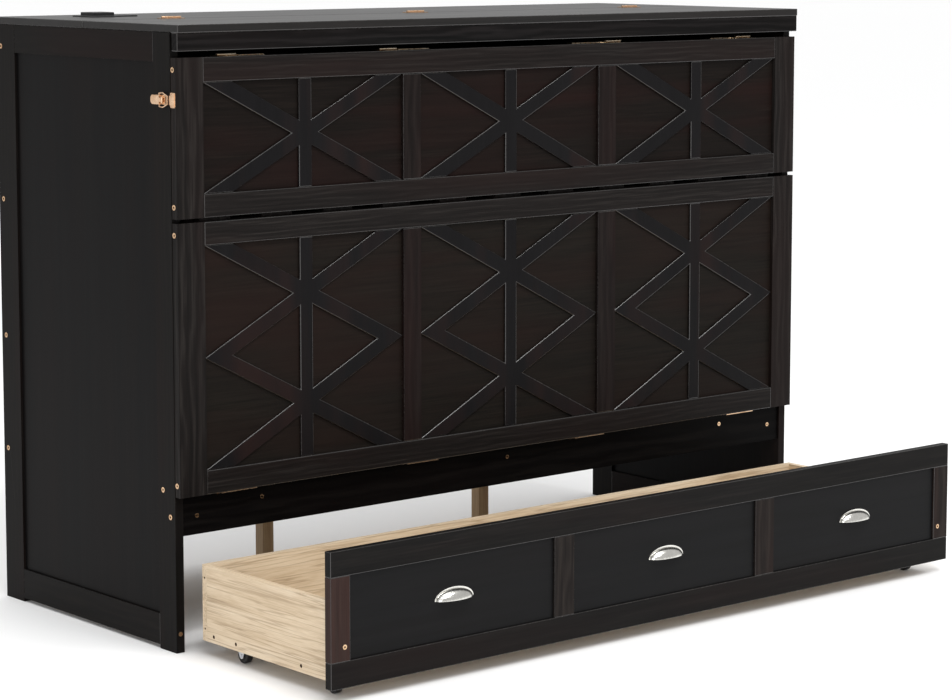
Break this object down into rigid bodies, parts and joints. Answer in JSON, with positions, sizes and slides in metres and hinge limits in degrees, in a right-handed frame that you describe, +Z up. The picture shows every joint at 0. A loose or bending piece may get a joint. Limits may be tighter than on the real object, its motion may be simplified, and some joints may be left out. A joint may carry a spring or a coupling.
{
  "type": "murphy wall bed",
  "caption": "Closed cabinet bed in dark stained wood: hinged lid, lattice-faced panels that fold down as a bed platform, and a wide storage drawer on casters.",
  "frame": {"origin": "on the floor, at the middle of the overall width and depth with the drawer standing open", "axes": "+X to the right seen from the front, +Y towards the back, +Z up"},
  "size_m": [1.6474, 1.113, 1.189],
  "materials": {
    "espresso_wood": "satin lacquer",
    "espresso_panel": "satin lacquer",
    "oak_laminate": "matt laminate",
    "pine": "raw",
    "brass": "satin",
    "satin_nickel": "satin",
    "zinc_steel": "zinc plated",
    "black_plastic": "matt",
    "black_rubber": "matt"
  },
  "bodies": {
    "cabinet": {"back_panel": "espresso_panel", "base_hinge_rail_leaves": "brass", "cabinet_screws": "brass", "deck_beam_and_cleats": "pine", "deck_legs": "pine", "deck_slats": "pine", "front_base_rail": "espresso_wood", "latch_base": "brass", "left_side_panel": "espresso_panel", "left_side_rails": "espresso_wood", "left_side_stiles": "espresso_wood", "outlet_housing": "black_plastic", "rear_rails": "espresso_wood", "rear_top_board": "espresso_wood", "right_side_panel": "espresso_panel", "right_side_rails": "espresso_wood", "right_side_stiles": "espresso_wood", "top_hinge_rear_leaves": "brass"},
    "lid": {"front_lid_board": "espresso_wood", "lid_fascia": "espresso_wood", "top_hinge_lid_leaves": "brass"},
    "front_panels": {"backing_battens": "espresso_wood", "base_hinge_panel_leaves": "brass", "front_panel_screws": "brass", "latch_strike": "brass", "lower_inset_panels": "espresso_wood", "lower_lattice": "espresso_wood", "lower_mullions": "espresso_wood", "lower_rails": "espresso_wood", "lower_stiles": "espresso_wood", "platform_hinge_panel_leaves": "brass", "upper_inset_panels": "espresso_wood", "upper_lattice": "espresso_wood", "upper_mullions": "espresso_wood", "upper_rails": "espresso_wood", "upper_stiles": "espresso_wood"},
    "folding_platform": {"platform_side_rails": "pine", "platform_cross_rails": "pine", "platform_slats": "pine", "platform_hinge_leaves": "brass", "leg_brackets": "zinc_steel"},
    "platform_legs": {"platform_legs": "pine"},
    "drawer": {"drawer_back_board": "oak_laminate", "drawer_bottom": "oak_laminate", "drawer_front_panels": "espresso_panel", "drawer_front_rails": "espresso_wood", "drawer_front_stiles": "espresso_wood", "drawer_screws": "brass", "drawer_side_boards": "oak_laminate", "cup_pulls": "satin_nickel", "caster_forks": "zinc_steel"},
    "caster_wheel_1": {"caster_wheel_1": "black_rubber"},
    "caster_wheel_2": {"caster_wheel_2": "black_rubber"},
    "caster_wheel_3": {"caster_wheel_3": "black_rubber"},
    "caster_wheel_4": {"caster_wheel_4": "black_rubber"},
    "latch_lever": {"latch_lever": "brass"},
    "latch_bail": {"latch_bail": "brass"}
  },
  "joints": [
    {"name": "bed_unfold", "type": "hinge", "parent": "cabinet", "child": "front_panels", "pos_m": [0, -0.0585, 0.296], "axis": [1, 0, 0], "range_deg": [0, 90]},
    {"name": "lid_lift", "type": "hinge", "parent": "cabinet", "child": "lid", "pos_m": [0, 0.2365, 1.1824], "axis": [-1, 0, 0], "range_deg": [0, 99]},
    {"name": "platform_unfold", "type": "hinge", "parent": "front_panels", "child": "folding_platform", "pos_m": [0, -0.048, 1.1216], "axis": [1, 0, 0], "range_deg": [0, 180]},
    {"name": "platform_leg_swing", "type": "hinge", "parent": "folding_platform", "child": "platform_legs", "pos_m": [0, -0.0095, 0.5015], "axis": [-1, 0, 0], "range_deg": [0, 90]},
    {"name": "drawer_slide", "type": "slide", "parent": "cabinet", "child": "drawer", "axis": [0, -1, 0], "range_m": [-0.46, 0.3]},
    {"name": "caster_spin_1", "type": "hinge", "parent": "drawer", "child": "caster_wheel_1", "pos_m": [-0.76, -0.1985, 0.015], "axis": [1, 0, 0], "continuous": true},
    {"name": "caster_spin_2", "type": "hinge", "parent": "drawer", "child": "caster_wheel_2", "pos_m": [0.76, -0.1985, 0.015], "axis": [1, 0, 0], "continuous": true},
    {"name": "caster_spin_3", "type": "hinge", "parent": "drawer", "child": "caster_wheel_3", "pos_m": [-0.76, -0.4725, 0.015], "axis": [1, 0, 0], "continuous": true},
    {"name": "caster_spin_4", "type": "hinge", "parent": "drawer", "child": "caster_wheel_4", "pos_m": [0.76, -0.4725, 0.015], "axis": [1, 0, 0], "continuous": true},
    {"name": "latch_lift", "type": "hinge", "parent": "cabinet", "child": "latch_lever", "pos_m": [-0.8242, -0.0395, 1.041], "axis": [0, 0, 1], "range_deg": [0, 100]},
    {"name": "bail_swing", "type": "hinge", "parent": "latch_lever", "child": "latch_bail", "pos_m": [-0.8246, -0.0315, 1.041], "axis": [0, 0, -1], "range_deg": [0, 120]}
  ],
  "couplings": [
    {"joint": "lid_lift", "follows": "bed_unfold", "ratio": 1.1},
    {"joint": "platform_unfold", "follows": "bed_unfold", "ratio": 2},
    {"joint": "platform_leg_swing", "follows": "bed_unfold", "ratio": 1},
    {"joint": "bail_swing", "follows": "latch_lift", "ratio": 1.2}
  ]
}
